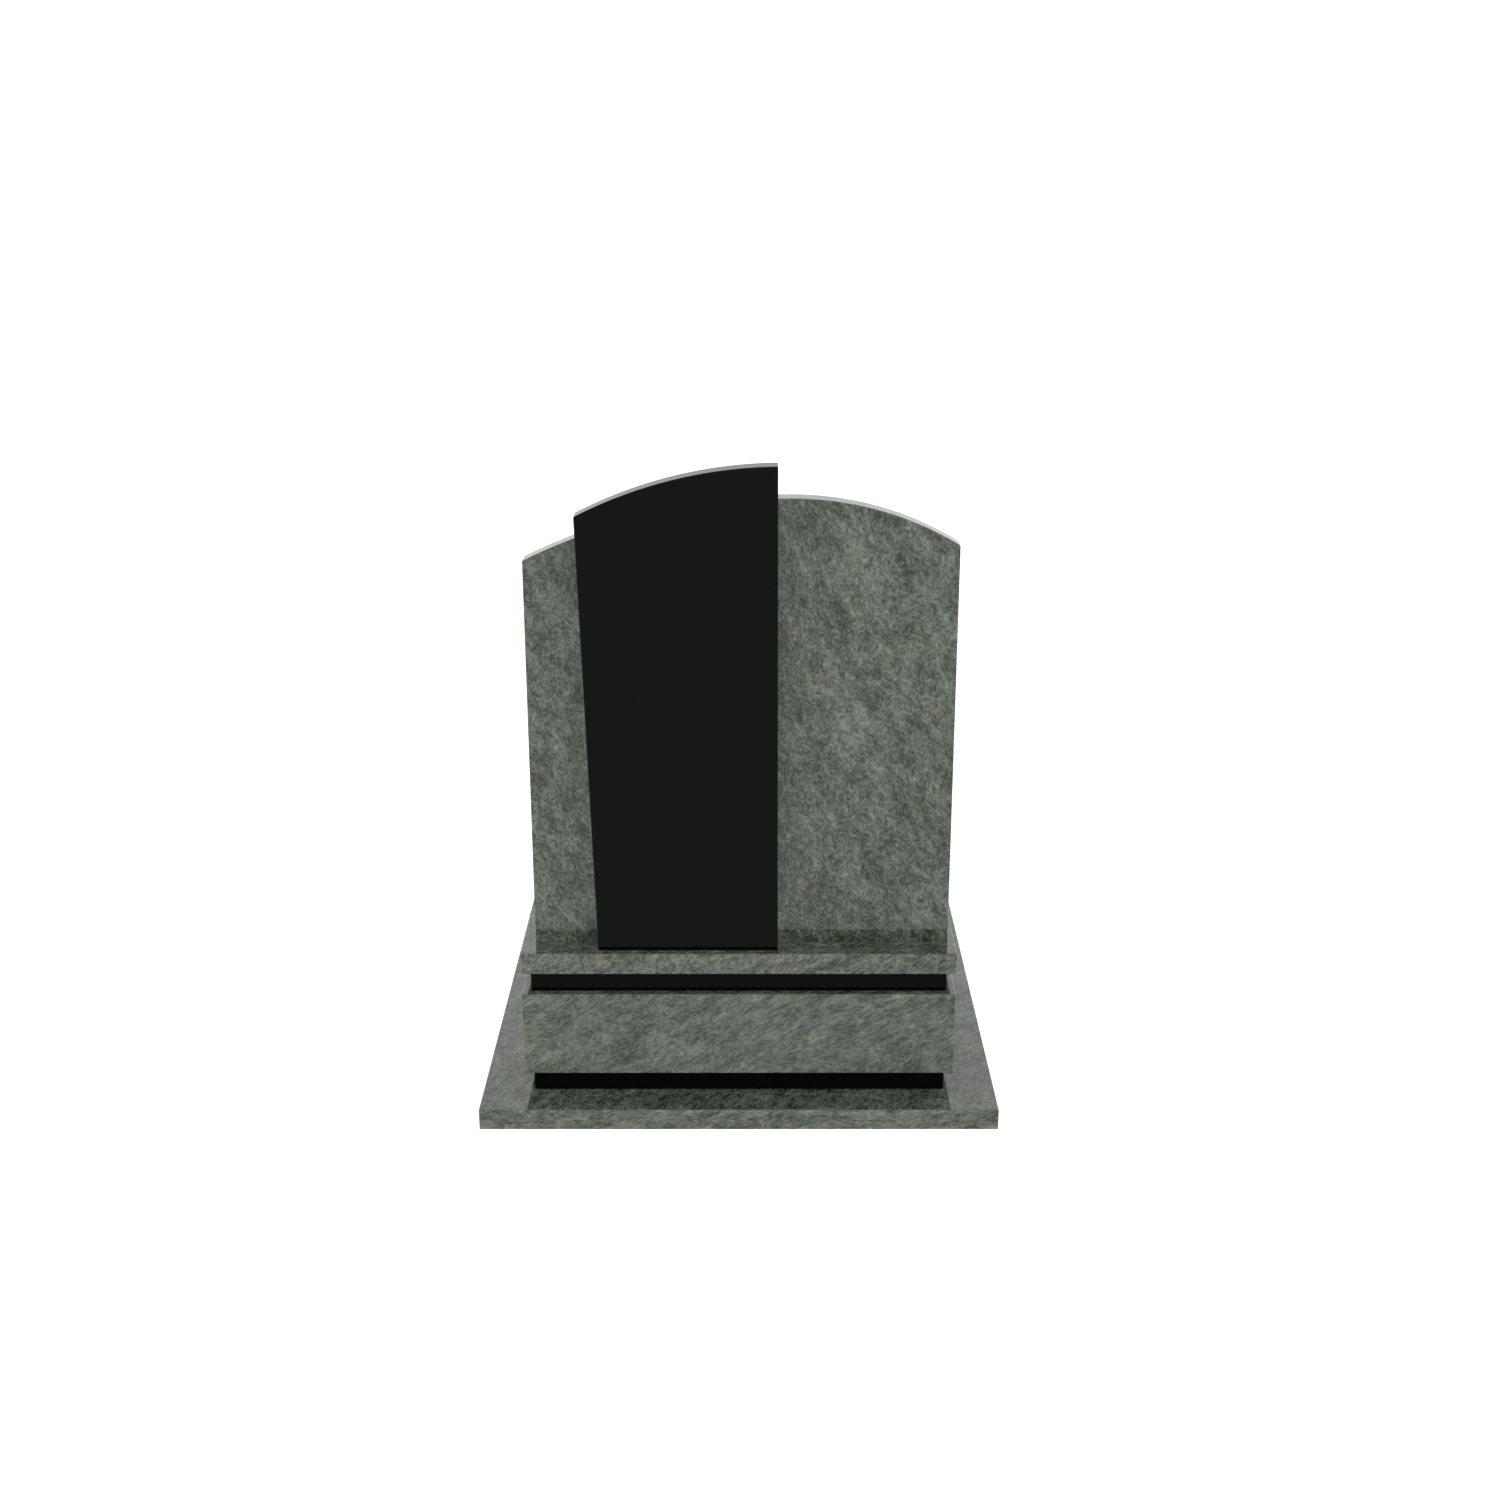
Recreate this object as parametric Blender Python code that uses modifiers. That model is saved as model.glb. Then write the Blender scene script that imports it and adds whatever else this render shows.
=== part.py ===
"""A granite grave monument: a thin base slab that runs on behind the headstone, a long block
between two recessed black bands, a plinth slab, an upright slab with an asymmetric arched top,
and a tapered black panel that stands in front of it and rises above it.

Units are metres, +Z is up. The origin is the centre of the base slab's underside, at ground
level. The headstone stands near the -Y end, with its panelled face towards -Y; the base slab
runs on towards +Y. Every piece is one sawn and polished slab of stone with a small flat
chamfer along its free edges. The edges that are bedded on another stone stay square, so that
the joints are tight.
"""

import math

import bmesh
import bpy

# ---------------------------------------------------------------- driving dimensions
GAP = 0.0003            # bedding gap between stones that rest on or against each other
ARRIS = 0.0012          # flat chamfer along every free edge

BASE_WIDTH = 1.200
BASE_LENGTH = 2.200
BASE_THICKNESS = 0.050

BLOCK_WIDTH = 1.000     # the block and the plinth slab share their faces
BLOCK_DEPTH = 0.200
BLOCK_SETBACK = 0.081   # from the base slab's front edge to the block's front face
BAND_RECESS = 0.020     # the black bands sit back from the block on all four sides

LOWER_BAND_TOP = 0.102  # heights above the ground of the top of each course
BLOCK_TOP = 0.304
UPPER_BAND_TOP = 0.355
PLINTH_TOP = 0.4055

SLAB_THICKNESS = 0.050  # the upright slab and the black panel are both 5 cm stones
PANEL_SETBACK = 0.021   # the panel's face stands back from the plinth's face

# upright slab: straight sides, and a top made of two arcs that meet level at the apex
SLAB_LEFT = -0.4714
SLAB_RIGHT = 0.4841
APEX_X = 0.1165
APEX_Z = 1.4460
LEFT_ARC_RADIUS = 1.325
RIGHT_ARC_RADIUS = 0.704
LEFT_ARC_STEPS = 72
RIGHT_ARC_STEPS = 64

# black panel: wider at the top than at the foot, under a single arc
PANEL_FOOT_LEFT = -0.3225
PANEL_FOOT_RIGHT = 0.0895
PANEL_TOP_LEFT = -0.3528
PANEL_TOP_RIGHT = 0.0859
PANEL_ARC_X = 0.0962
PANEL_ARC_Z = 0.5451
PANEL_ARC_RADIUS = 0.9797
PANEL_ARC_STEPS = 64

GREEN = (0.122, 0.138, 0.117)
BLACK = (0.0091, 0.0091, 0.0091)

# ---------------------------------------------------------------- derived places
BASE_FRONT = -BASE_LENGTH / 2
BLOCK_FRONT = BASE_FRONT + BLOCK_SETBACK
PANEL_FRONT = BLOCK_FRONT + PANEL_SETBACK
SLAB_FRONT = PANEL_FRONT + SLAB_THICKNESS + GAP


def clear_scene():
    for obj in list(bpy.data.objects):
        bpy.data.objects.remove(obj, do_unlink=True)


def stone_material(name, colour, roughness):
    mat = bpy.data.materials.new(name)
    mat.use_nodes = True
    shader = mat.node_tree.nodes["Principled BSDF"]
    shader.inputs["Base Color"].default_value = (*colour, 1.0)
    shader.inputs["Roughness"].default_value = roughness
    shader.inputs["Metallic"].default_value = 0.0
    return mat


def mark_free_edges(obj, bedded):
    """Weight the corners of the stone for the chamfer, except where both ends lie at a bedded
    height."""
    place = obj.matrix_world
    bm = bmesh.new()
    bm.from_mesh(obj.data)
    weight = bm.edges.layers.float.new("bevel_weight_edge")
    for edge in bm.edges:
        a, b = ((place @ v.co).z for v in edge.verts)
        square = any(abs(a - z) < 1e-5 and abs(b - z) < 1e-5 for z in bedded)
        corner = edge.calc_face_angle() > math.radians(30)
        edge[weight] = 1.0 if corner and not square else 0.0
    bm.to_mesh(obj.data)
    bm.free()


def finish_stone(obj, name, bedded, colour, roughness, collection):
    """Name the piece, give it its own material and a chamfer on its free edges, and file it."""
    obj.name = name
    obj.data.name = name
    obj.data.materials.clear()
    obj.data.materials.append(stone_material(name, colour, roughness))
    bpy.context.view_layer.update()
    mark_free_edges(obj, bedded)
    bevel = obj.modifiers.new("arris", "BEVEL")
    bevel.width = ARRIS
    bevel.segments = 1
    bevel.limit_method = "WEIGHT"
    for owner in list(obj.users_collection):
        owner.objects.unlink(obj)
    collection.objects.link(obj)
    return obj


def sawn_course(name, width, front, depth, bottom, top, bedded, colour, roughness, collection):
    """A rectangular course, centred across the monument."""
    bpy.ops.mesh.primitive_cube_add(
        size=1.0, location=(0.0, front + depth / 2, (bottom + top) / 2)
    )
    obj = bpy.context.object
    obj.scale = (width, depth, top - bottom)
    bpy.ops.object.transform_apply(location=False, rotation=False, scale=True)
    return finish_stone(obj, name, bedded, colour, roughness, collection)


def arc_points(centre_x, centre_z, radius, x_from, x_to, steps):
    """Points along the upper side of a circle, evenly spaced in angle between two x values."""
    a = math.acos((x_from - centre_x) / radius)
    b = math.acos((x_to - centre_x) / radius)
    points = []
    for i in range(steps + 1):
        t = a + (b - a) * i / steps
        points.append((centre_x + radius * math.cos(t), centre_z + radius * math.sin(t)))
    return points


def upright_slab(name, outline, front, thickness, colour, roughness, collection):
    """A flat outline in the XZ plane, cut from a slab of the given thickness. It stands on the
    outline's first and last points."""
    curve = bpy.data.curves.new(name + "_outline", "CURVE")
    curve.dimensions = "2D"
    curve.fill_mode = "BOTH"
    curve.extrude = thickness / 2
    spline = curve.splines.new("POLY")
    spline.points.add(len(outline) - 1)
    for point, (x, z) in zip(spline.points, outline):
        point.co = (x, z, 0.0, 1.0)
    spline.use_cyclic_u = True
    guide = bpy.data.objects.new(name + "_outline", curve)
    guide.rotation_euler = (math.pi / 2, 0.0, 0.0)
    guide.location = (0.0, front + thickness / 2, 0.0)
    collection.objects.link(guide)
    bpy.context.view_layer.update()

    evaluated = guide.evaluated_get(bpy.context.evaluated_depsgraph_get())
    mesh = bpy.data.meshes.new_from_object(evaluated)
    place = guide.matrix_world.copy()
    bpy.data.objects.remove(guide, do_unlink=True)

    bm = bmesh.new()
    bm.from_mesh(mesh)
    bmesh.ops.remove_doubles(bm, verts=bm.verts, dist=0.00001)
    for side in (1.0, -1.0):            # each broad face becomes one polygon
        flat = [f for f in bm.faces if f.normal.z * side > 0.999]
        bmesh.ops.dissolve_faces(bm, faces=flat)
    bmesh.ops.recalc_face_normals(bm, faces=bm.faces)
    bm.to_mesh(mesh)
    bm.free()

    obj = bpy.data.objects.new(name, mesh)
    obj.matrix_world = place
    collection.objects.link(obj)
    return finish_stone(obj, name, [outline[0][1]], colour, roughness, collection)


def headstone_outline(foot):
    left = arc_points(
        APEX_X, APEX_Z - LEFT_ARC_RADIUS, LEFT_ARC_RADIUS, SLAB_LEFT, APEX_X, LEFT_ARC_STEPS
    )
    right = arc_points(
        APEX_X, APEX_Z - RIGHT_ARC_RADIUS, RIGHT_ARC_RADIUS, APEX_X, SLAB_RIGHT, RIGHT_ARC_STEPS
    )
    return [(SLAB_LEFT, foot)] + left + right[1:] + [(SLAB_RIGHT, foot)]


def panel_outline(foot):
    top = arc_points(
        PANEL_ARC_X, PANEL_ARC_Z, PANEL_ARC_RADIUS, PANEL_TOP_LEFT, PANEL_TOP_RIGHT,
        PANEL_ARC_STEPS,
    )
    return [(PANEL_FOOT_LEFT, foot)] + top + [(PANEL_FOOT_RIGHT, foot)]


def build():
    clear_scene()
    stones = bpy.data.collections.new("headstone")
    bpy.context.scene.collection.children.link(stones)

    band = (BLOCK_WIDTH - 2 * BAND_RECESS, BLOCK_FRONT + BAND_RECESS,
            BLOCK_DEPTH - 2 * BAND_RECESS)
    base_bottom, base_top = 0.0, BASE_THICKNESS
    lower_bottom, lower_top = base_top + GAP, LOWER_BAND_TOP
    block_bottom, block_top = lower_top + GAP, BLOCK_TOP
    upper_bottom, upper_top = block_top + GAP, UPPER_BAND_TOP
    plinth_bottom, plinth_top = upper_top + GAP, PLINTH_TOP

    sawn_course("base_slab", BASE_WIDTH, BASE_FRONT, BASE_LENGTH, base_bottom, base_top,
                [base_bottom], GREEN, 0.12, stones)
    sawn_course("lower_black_band", *band, lower_bottom, lower_top,
                [lower_bottom, lower_top], BLACK, 0.08, stones)
    sawn_course("green_block", BLOCK_WIDTH, BLOCK_FRONT, BLOCK_DEPTH, block_bottom, block_top,
                [], GREEN, 0.12, stones)
    sawn_course("upper_black_band", *band, upper_bottom, upper_top,
                [upper_bottom, upper_top], BLACK, 0.08, stones)
    sawn_course("plinth_slab", BLOCK_WIDTH, BLOCK_FRONT, BLOCK_DEPTH, plinth_bottom, plinth_top,
                [], GREEN, 0.12, stones)
    upright_slab("headstone_slab", headstone_outline(PLINTH_TOP + GAP), SLAB_FRONT,
                 SLAB_THICKNESS, GREEN, 0.12, stones)
    upright_slab("black_panel", panel_outline(PLINTH_TOP + GAP), PANEL_FRONT,
                 SLAB_THICKNESS, BLACK, 0.08, stones)


build()
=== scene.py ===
"""Looks of the granite headstone: stone finishes, light, floor and camera, around the fixed frame.

Metres, +Z up, the frame's own axes. The panelled face looks towards -Y.
"""

import math

import bpy
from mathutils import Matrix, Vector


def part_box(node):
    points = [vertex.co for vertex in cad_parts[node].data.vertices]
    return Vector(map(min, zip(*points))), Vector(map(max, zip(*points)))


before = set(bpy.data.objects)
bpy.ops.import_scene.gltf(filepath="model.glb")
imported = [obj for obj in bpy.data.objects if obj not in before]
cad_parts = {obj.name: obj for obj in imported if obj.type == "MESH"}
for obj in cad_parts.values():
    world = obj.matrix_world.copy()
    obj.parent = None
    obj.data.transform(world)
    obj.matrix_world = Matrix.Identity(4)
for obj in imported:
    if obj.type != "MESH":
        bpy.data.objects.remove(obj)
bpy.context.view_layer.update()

scene = bpy.context.scene
scene.view_settings.view_transform = "Standard"
scene.view_settings.look = "None"
scene.view_settings.exposure = 0.0
scene.view_settings.gamma = 1.0


# ---------------------------------------------------------------- camera
base_lo, base_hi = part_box("base_slab")
camera_data = bpy.data.cameras.new("camera")
camera_data.sensor_width = 36.0
camera_data.lens = 48.281
camera_data.clip_start = 0.05
camera_data.clip_end = 200.0
camera = bpy.data.objects.new("camera", camera_data)
camera.location = (0.02467, base_lo[1] - 4.13467, base_hi[2] + 2.25951)
camera.rotation_euler = (math.radians(90.0 - 18.5115), 0.0, math.radians(-0.0155))
scene.collection.objects.link(camera)
scene.camera = camera


# ---------------------------------------------------------------- node helpers
class Nodes:
    """A short way to write a material's node tree."""

    def __init__(self, name):
        self.material = bpy.data.materials.new(name)
        self.material.use_nodes = True
        self.tree = self.material.node_tree
        self.tree.nodes.clear()

    def add(self, kind, inputs=None, **settings):
        node = self.tree.nodes.new(kind)
        for key, value in settings.items():
            setattr(node, key, value)
        for key, value in (inputs or {}).items():
            socket = node.inputs[key]
            if isinstance(value, bpy.types.NodeSocket):
                self.tree.links.new(value, socket)
            else:
                socket.default_value = value
        return node

    def math(self, operation, a, b=0.0, c=0.0, clamp=False):
        node = self.add("ShaderNodeMath", {0: a, 1: b, 2: c}, operation=operation, use_clamp=clamp)
        return node.outputs[0]

    def remap(self, value, low, high, to_low=0.0, to_high=1.0, kind="LINEAR"):
        node = self.add(
            "ShaderNodeMapRange",
            {"Value": value, "From Min": low, "From Max": high, "To Min": to_low, "To Max": to_high},
            interpolation_type=kind,
            clamp=True,
        )
        return node.outputs["Result"]

    def noise(self, vector, scale, detail=0.0, roughness=0.5, distortion=0.0):
        node = self.add(
            "ShaderNodeTexNoise",
            {"Vector": vector, "Scale": scale, "Detail": detail, "Roughness": roughness,
             "Distortion": distortion},
            noise_dimensions="3D",
        )
        return node.outputs["Fac"]

    def cells(self, vector, scale):
        """One grey level for each crystal."""
        node = self.add("ShaderNodeTexVoronoi", {"Vector": vector, "Scale": scale},
                        voronoi_dimensions="3D", feature="F1")
        return self.add("ShaderNodeSeparateColor", {0: node.outputs["Color"]}).outputs[0]

    def mix(self, factor, a, b, blend="MIX"):
        node = self.add("ShaderNodeMix", data_type="RGBA", blend_type=blend)
        for socket, value in zip((node.inputs[0], node.inputs[6], node.inputs[7]), (factor, a, b)):
            if isinstance(value, bpy.types.NodeSocket):
                self.tree.links.new(value, socket)
            else:
                socket.default_value = value
        return node.outputs[2]

    def ramp(self, value, low, high):
        """A plain ramp between two colours."""
        node = self.add("ShaderNodeValToRGB", {0: value})
        for element, colour in zip(node.color_ramp.elements, (low, high)):
            element.color = (*colour, 1.0)
        return node.outputs[0]

    def facing(self):
        """The sizes of the normal's X, Y and Z parts."""
        normal = self.add("ShaderNodeNewGeometry").outputs["Normal"]
        size = self.add("ShaderNodeVectorMath", {0: normal}, operation="ABSOLUTE").outputs[0]
        return self.add("ShaderNodeSeparateXYZ", {0: size}).outputs

    def arris(self):
        """1 on the ground chamfers, whose normals lie between two faces, and 0 on the broad faces."""
        x, y, z = self.facing()
        largest = self.math("MAXIMUM", self.math("MAXIMUM", x, y), z)
        return self.remap(largest, 0.79, 0.81, 1.0, 0.0)


def streak_rotation(direction):
    """Euler angles that turn local X to the direction in which the stone's grain runs."""
    x, y, z = direction
    return (0.0, -math.atan2(z, math.hypot(x, y)), math.atan2(y, x))


def green_granite(name, grain, curl, gain, lift=0.0, flat_grain=None):
    """Fine-grained olive granite. Its contrast is about the same at every scale, from crystals
    of a few millimetres to clouds as wide as a hand. Clouds and wisps are drawn out along one
    direction. The dark matrix is greener than the pale crystals. A grain is that direction, an
    offset of the pattern, and how far the large and the small features are drawn out; a level
    face can have a grain of its own."""
    n = Nodes(name)
    place = n.add("ShaderNodeTexCoord").outputs["Object"]

    # the grain's direction wanders across the stone, and its wisps curl a little
    bent = place
    for scale, detail, amount in ((3.2, 1.0, 0.09), (42.0, 0.0, curl)):
        noise = n.add("ShaderNodeTexNoise", {"Vector": place, "Scale": scale, "Detail": detail},
                      noise_dimensions="3D").outputs["Color"]
        centred = n.add("ShaderNodeVectorMath", {0: noise, 1: (0.5, 0.5, 0.5)},
                        operation="SUBTRACT").outputs[0]
        bent = n.add("ShaderNodeVectorMath", {0: centred, 1: (amount, amount, amount), 2: bent},
                     operation="MULTIPLY_ADD").outputs[0]

    def along(size, shift=0.0):
        turned = []
        for direction, offset, *lengths in [grain] + ([flat_grain] if flat_grain else []):
            node = n.add(
                "ShaderNodeMapping",
                {"Vector": bent, "Location": tuple(v + shift for v in offset),
                 "Rotation": streak_rotation(direction), "Scale": (lengths[size], 1.0, 1.0)},
                vector_type="TEXTURE",
            )
            turned.append(node.outputs[0])
        if flat_grain:
            level = n.remap(n.facing()[2], 0.89, 0.91)
            return n.add("ShaderNodeMix", {0: level, 4: turned[0], 5: turned[1]},
                         data_type="VECTOR").outputs[1]
        return turned[0]

    drawn = along(0)
    slight = along(1, 0.37)
    fine = n.cells(slight, 620.0)
    layers = (
        (n.noise(drawn, 2.6), 0.32),        # clouds
        (n.noise(drawn, 12.0), 0.30),       # wisps as wide as a hand
        (n.noise(drawn, 24.0), 0.42),
        (n.noise(drawn, 48.0), 0.70),       # flakes as wide as a finger
        (n.noise(slight, 96.0), 0.70),
        (n.noise(slight, 190.0), 1.00),     # clusters of crystals
        (fine, 0.56),                       # crystals
    )
    value = 0.5 + lift
    for layer, share in layers:
        value = n.math("MULTIPLY_ADD", n.math("SUBTRACT", layer, 0.5), share * gain, value)
    # 0 to 1 here stands for an albedo of 0 to 0.122, with the darkest matrix held up a little
    # and the palest crystals standing out
    far = n.math("SUBTRACT", value, 0.5)
    value = n.math("MULTIPLY_ADD", n.math("MULTIPLY", far, far), 0.25,
                   n.math("SUBTRACT", value, 0.0125))
    position = n.remap(value, 0.010 / 0.122, 0.160 / 0.122)
    colour = n.ramp(position, (0.0050, 0.0123, 0.0022), (0.1472, 0.1668, 0.1392))

    # patches that lean to green or to grey, and others that are warmer or cooler
    green = n.remap(n.noise(slight, 26.0, 3.0, 0.9), 0.30, 0.70)
    colour = n.mix(1.0, colour, n.ramp(green, (0.945, 1.012, 0.915), (1.055, 0.988, 1.085)),
                   "MULTIPLY")
    warm = n.remap(n.noise(drawn, 14.0, 3.0, 0.9), 0.30, 0.70)
    colour = n.mix(1.0, colour, n.ramp(warm, (0.968, 1.00, 1.075), (1.032, 1.00, 0.925)), "MULTIPLY")

    arris = n.arris()
    colour = n.mix(n.math("MULTIPLY", arris, 0.20), colour, (0.120, 0.135, 0.115, 1.0))
    roughness = n.remap(fine, 0.0, 1.0, 0.045, 0.085)
    roughness = n.math("ADD", roughness, n.math("MULTIPLY", arris, 0.18))
    bump = n.add("ShaderNodeBump", {"Strength": 0.05, "Distance": 0.0002, "Height": fine})
    shader = n.add(
        "ShaderNodeBsdfPrincipled",
        {"Base Color": colour, "Roughness": roughness, "Normal": bump.outputs[0]},
    )
    shader.inputs["Metallic"].default_value = 0.0
    shader.inputs["IOR"].default_value = 1.47
    n.add("ShaderNodeOutputMaterial", {"Surface": shader.outputs[0]})
    return n.material


def black_granite(name, offset, ior, albedo):
    """Close-grained black granite with a mirror polish."""
    n = Nodes(name)
    place = n.add("ShaderNodeTexCoord").outputs["Object"]
    grain = n.add("ShaderNodeMapping", {"Vector": place, "Location": offset},
                  vector_type="TEXTURE").outputs[0]
    crystal = n.cells(grain, 700.0)
    colour = n.ramp(crystal, (albedo - 0.0004,) * 3, (albedo + 0.0004,) * 3)
    arris = n.arris()
    colour = n.mix(n.math("MULTIPLY", arris, 0.20), colour, (0.02, 0.02, 0.02, 1.0))
    roughness = n.remap(crystal, 0.0, 1.0, 0.035, 0.055)
    roughness = n.math("ADD", roughness, n.math("MULTIPLY", arris, 0.18))
    shader = n.add("ShaderNodeBsdfPrincipled", {"Base Color": colour, "Roughness": roughness})
    shader.inputs["Metallic"].default_value = 0.0
    shader.inputs["IOR"].default_value = ior
    n.add("ShaderNodeOutputMaterial", {"Surface": shader.outputs[0]})
    return n.material


# ---------------------------------------------------------------- stones
def in_plane(degrees):
    """A direction in the headstone's own plane, measured from +X towards +Z."""
    return (math.cos(math.radians(degrees)), 0.0, math.sin(math.radians(degrees)))


FINISHES = {
    "base_slab": green_granite("green_granite_base",
                               ((0.96, 0.16, 0.18), (-1.79, 2.33, -0.62), 3.2, 2.9),
                               0.006, 0.92, 0.028,
                               ((0.42, 0.91, 0.05), (2.92, -2.86, -0.04), 1.7, 1.5)),
    "green_block": green_granite("green_granite_block",
                                 (in_plane(29.0), (2.17, 0.35, 1.26), 2.5, 2.2),
                                 0.006, 0.80, -0.014),
    "plinth_slab": green_granite("green_granite_plinth",
                                 (in_plane(30.0), (2.34, 0.05, -0.69), 2.5, 2.0),
                                 0.008, 0.95, 0.055),
    "headstone_slab": green_granite("green_granite_headstone",
                                    (in_plane(116.0), (1.50, -2.48, 3.52), 2.5, 1.65),
                                    0.018, 0.96, -0.018),
    # The two recessed bands get a lower IOR than the panel, the upper band the lowest, so their
    # polish mirrors less: painted shade for their recesses.
    "lower_black_band": black_granite("black_granite_lower", (0.4, 0.2, 0.9), 1.152, 0.0010),
    "upper_black_band": black_granite("black_granite_upper", (1.4, 1.2, 0.1), 1.12, 0.0010),
    "black_panel": black_granite("black_granite_panel", (2.4, 0.7, 0.3), 1.161, 0.0009),
}
for node, material in FINISHES.items():
    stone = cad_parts[node]
    if not stone.material_slots:
        stone.data.materials.append(material)
    for slot in stone.material_slots:
        slot.link = "OBJECT"
        slot.material = material


# ---------------------------------------------------------------- floor
floor_mesh = bpy.data.meshes.new("floor")
half = 30.0
floor_mesh.from_pydata(
    [(-half, -half, -0.0008), (half, -half, -0.0008), (half, half, -0.0008), (-half, half, -0.0008)],
    [], [(0, 1, 2, 3)])
floor = bpy.data.objects.new("floor", floor_mesh)
scene.collection.objects.link(floor)
f = Nodes("pale_floor")
pale = f.add("ShaderNodeEmission")
pale.inputs["Color"].default_value = (1.0, 1.0, 1.0, 1.0)
pale.inputs["Strength"].default_value = 1.41
f.add("ShaderNodeOutputMaterial", {"Surface": pale.outputs[0]})
floor_mesh.materials.append(f.material)
floor.visible_diffuse = False
floor.visible_shadow = False


# ---------------------------------------------------------------- light
# A white studio all round gives the polish something to mirror. Its soft light on the stones' own
# colour comes from every side and less from overhead, and darkens in the corners between them.
# Four broad low lamps without shadows fill those corners a little.
world = bpy.data.worlds.new("studio")
scene.world = world
world.use_nodes = True
world.cycles.sampling_method = "NONE"
sky = world.node_tree
background = sky.nodes["Background"]
up = sky.nodes.new("ShaderNodeTexCoord")
height = sky.nodes.new("ShaderNodeSeparateXYZ")
sky.links.new(up.outputs["Generated"], height.inputs[0])


def by_height(low, high, at_low, at_high):
    """Strength that goes from one value to another with the height of the direction."""
    fade = sky.nodes.new("ShaderNodeMapRange")
    fade.interpolation_type = "SMOOTHSTEP"
    for key, number in (("From Min", low), ("From Max", high), ("To Min", at_low),
                        ("To Max", at_high)):
        fade.inputs[key].default_value = number
    sky.links.new(height.outputs["Z"], fade.inputs["Value"])
    return fade.outputs["Result"]


choose = sky.nodes.new("ShaderNodeMix")
choose.data_type = "FLOAT"
sky.links.new(sky.nodes.new("ShaderNodeLightPath").outputs["Is Diffuse Ray"], choose.inputs[0])
sky.links.new(by_height(0.30, 0.70, 1.30, 1.12), choose.inputs[2])
sky.links.new(by_height(0.30, 1.00, 1.18, 0.52), choose.inputs[3])
sky.links.new(choose.outputs[0], background.inputs["Strength"])
background.inputs["Color"].default_value = (1.0, 1.0, 1.0, 1.0)

LAMP_RISE = math.radians(18.0)      # elevation of the lamps
for name, turn, strength in (("front", 0.0, 1.15), ("right", 90.0, 1.00),
                             ("back", 180.0, 1.00), ("left", -90.0, 1.00)):
    lamp_data = bpy.data.lights.new("lamp_" + name, "SUN")
    lamp_data.energy = strength
    lamp_data.angle = math.radians(30.0)
    lamp_data.use_shadow = False
    lamp = bpy.data.objects.new("lamp_" + name, lamp_data)
    lamp.rotation_euler = (math.radians(90.0) - LAMP_RISE, 0.0, math.radians(turn))
    lamp.visible_glossy = False
    scene.collection.objects.link(lamp)
